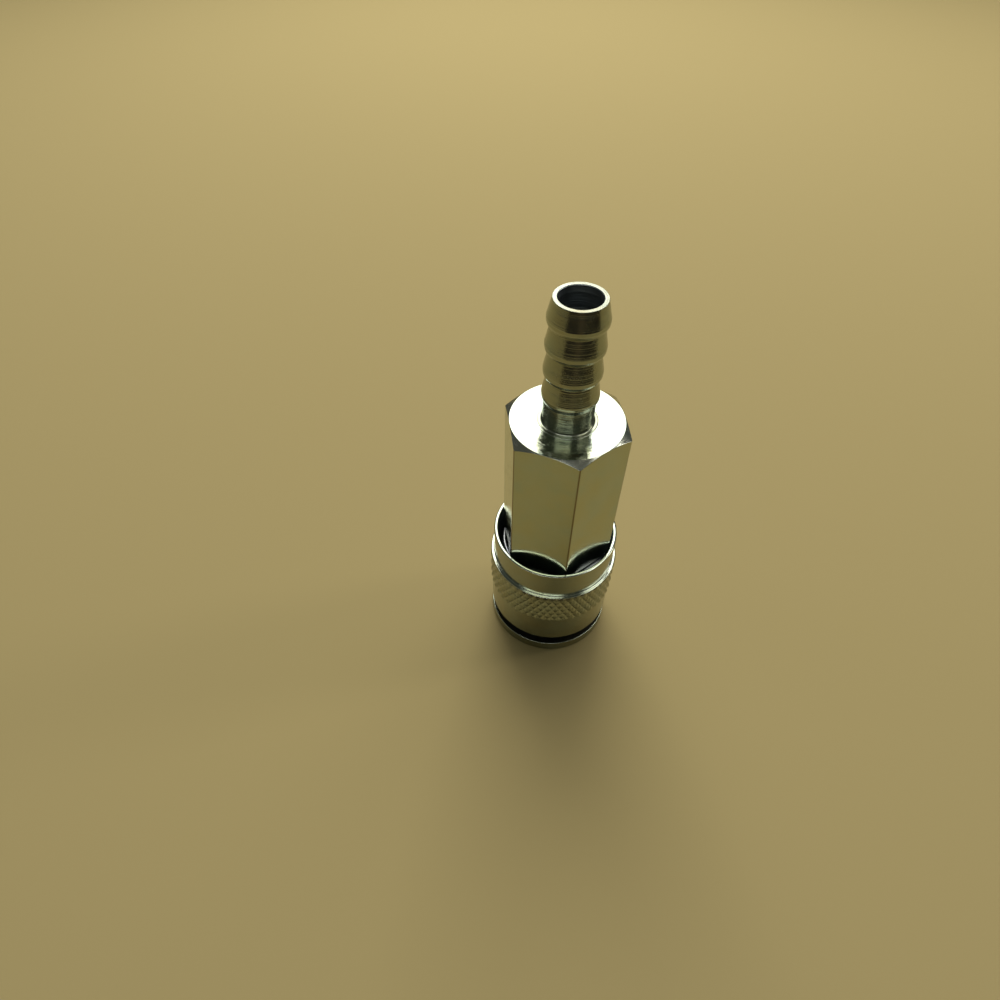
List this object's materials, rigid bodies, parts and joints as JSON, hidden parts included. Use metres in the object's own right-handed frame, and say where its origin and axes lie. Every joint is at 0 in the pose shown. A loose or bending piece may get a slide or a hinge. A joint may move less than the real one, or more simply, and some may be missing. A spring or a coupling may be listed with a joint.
{
  "type": "quick disconnect coupler",
  "caption": "Air line quick coupler socket with a knurled pull-back sleeve, a hexagonal body and a straight hose barb at the rear.",
  "frame": {"origin": "centre of the nose face, where the plug goes in", "axes": "+Z along the common axis, from the nose to the tip of the hose barb; the hexagon has two corners on the X axis"},
  "size_m": [0.0254, 0.0254, 0.0769],
  "materials": {
    "zinc_plated_steel": "bright zinc plate over turned steel",
    "spring_steel": "drawn wire",
    "ball_steel": "polished chrome steel",
    "turned_brass": "turned",
    "nitrile_rubber": "moulded"
  },
  "bodies": {
    "coupler_body": {"socket_body": "zinc_plated_steel", "hose_barb_adapter": "zinc_plated_steel", "sleeve_spring": "spring_steel", "valve_spring": "spring_steel", "valve_guide": "turned_brass", "plug_seal": "nitrile_rubber", "adapter_seal": "nitrile_rubber"},
    "sleeve_carrier": {"spring_seat_ring": "zinc_plated_steel"},
    "sleeve": {"lock_sleeve": "zinc_plated_steel"},
    "valve": {"valve_poppet": "turned_brass", "valve_nose": "turned_brass", "valve_seal": "nitrile_rubber"},
    "lock_ball_1": {"lock_ball_1": "ball_steel"},
    "lock_ball_2": {"lock_ball_2": "ball_steel"},
    "lock_ball_3": {"lock_ball_3": "ball_steel"},
    "lock_ball_4": {"lock_ball_4": "ball_steel"},
    "lock_ball_5": {"lock_ball_5": "ball_steel"},
    "lock_ball_6": {"lock_ball_6": "ball_steel"}
  },
  "joints": [
    {"name": "sleeve_pull", "type": "slide", "parent": "coupler_body", "child": "sleeve_carrier", "axis": [0, 0, 1], "range_m": [0, 0.0045], "stiffness_N_per_m": 2500, "springref_m": -0.004, "deforming": ["sleeve_spring"]},
    {"name": "sleeve_spin", "type": "hinge", "parent": "sleeve_carrier", "child": "sleeve", "pos_m": [0, 0, 0.015], "axis": [0, 0, 1], "continuous": true},
    {"name": "valve_open", "type": "slide", "parent": "coupler_body", "child": "valve", "axis": [0, 0, 1], "range_m": [0, 0.004], "stiffness_N_per_m": 800, "springref_m": -0.004, "deforming": ["valve_spring"]},
    {"name": "ball_1_release", "type": "slide", "parent": "coupler_body", "child": "lock_ball_1", "axis": [1, 0, 0], "range_m": [0, 0.0011]},
    {"name": "ball_2_release", "type": "slide", "parent": "coupler_body", "child": "lock_ball_2", "axis": [0.5, 0.866, 0], "range_m": [0, 0.0011]},
    {"name": "ball_3_release", "type": "slide", "parent": "coupler_body", "child": "lock_ball_3", "axis": [-0.5, 0.866, 0], "range_m": [0, 0.0011]},
    {"name": "ball_4_release", "type": "slide", "parent": "coupler_body", "child": "lock_ball_4", "axis": [-1, 0, 0], "range_m": [0, 0.0011]},
    {"name": "ball_5_release", "type": "slide", "parent": "coupler_body", "child": "lock_ball_5", "axis": [-0.5, -0.866, 0], "range_m": [0, 0.0011]},
    {"name": "ball_6_release", "type": "slide", "parent": "coupler_body", "child": "lock_ball_6", "axis": [0.5, -0.866, 0], "range_m": [0, 0.0011]}
  ],
  "couplings": [
    {"joint": "ball_1_release", "follows": "sleeve_pull", "ratio": 0.2444},
    {"joint": "ball_2_release", "follows": "sleeve_pull", "ratio": 0.2444},
    {"joint": "ball_3_release", "follows": "sleeve_pull", "ratio": 0.2444},
    {"joint": "ball_4_release", "follows": "sleeve_pull", "ratio": 0.2444},
    {"joint": "ball_5_release", "follows": "sleeve_pull", "ratio": 0.2444},
    {"joint": "ball_6_release", "follows": "sleeve_pull", "ratio": 0.2444}
  ]
}
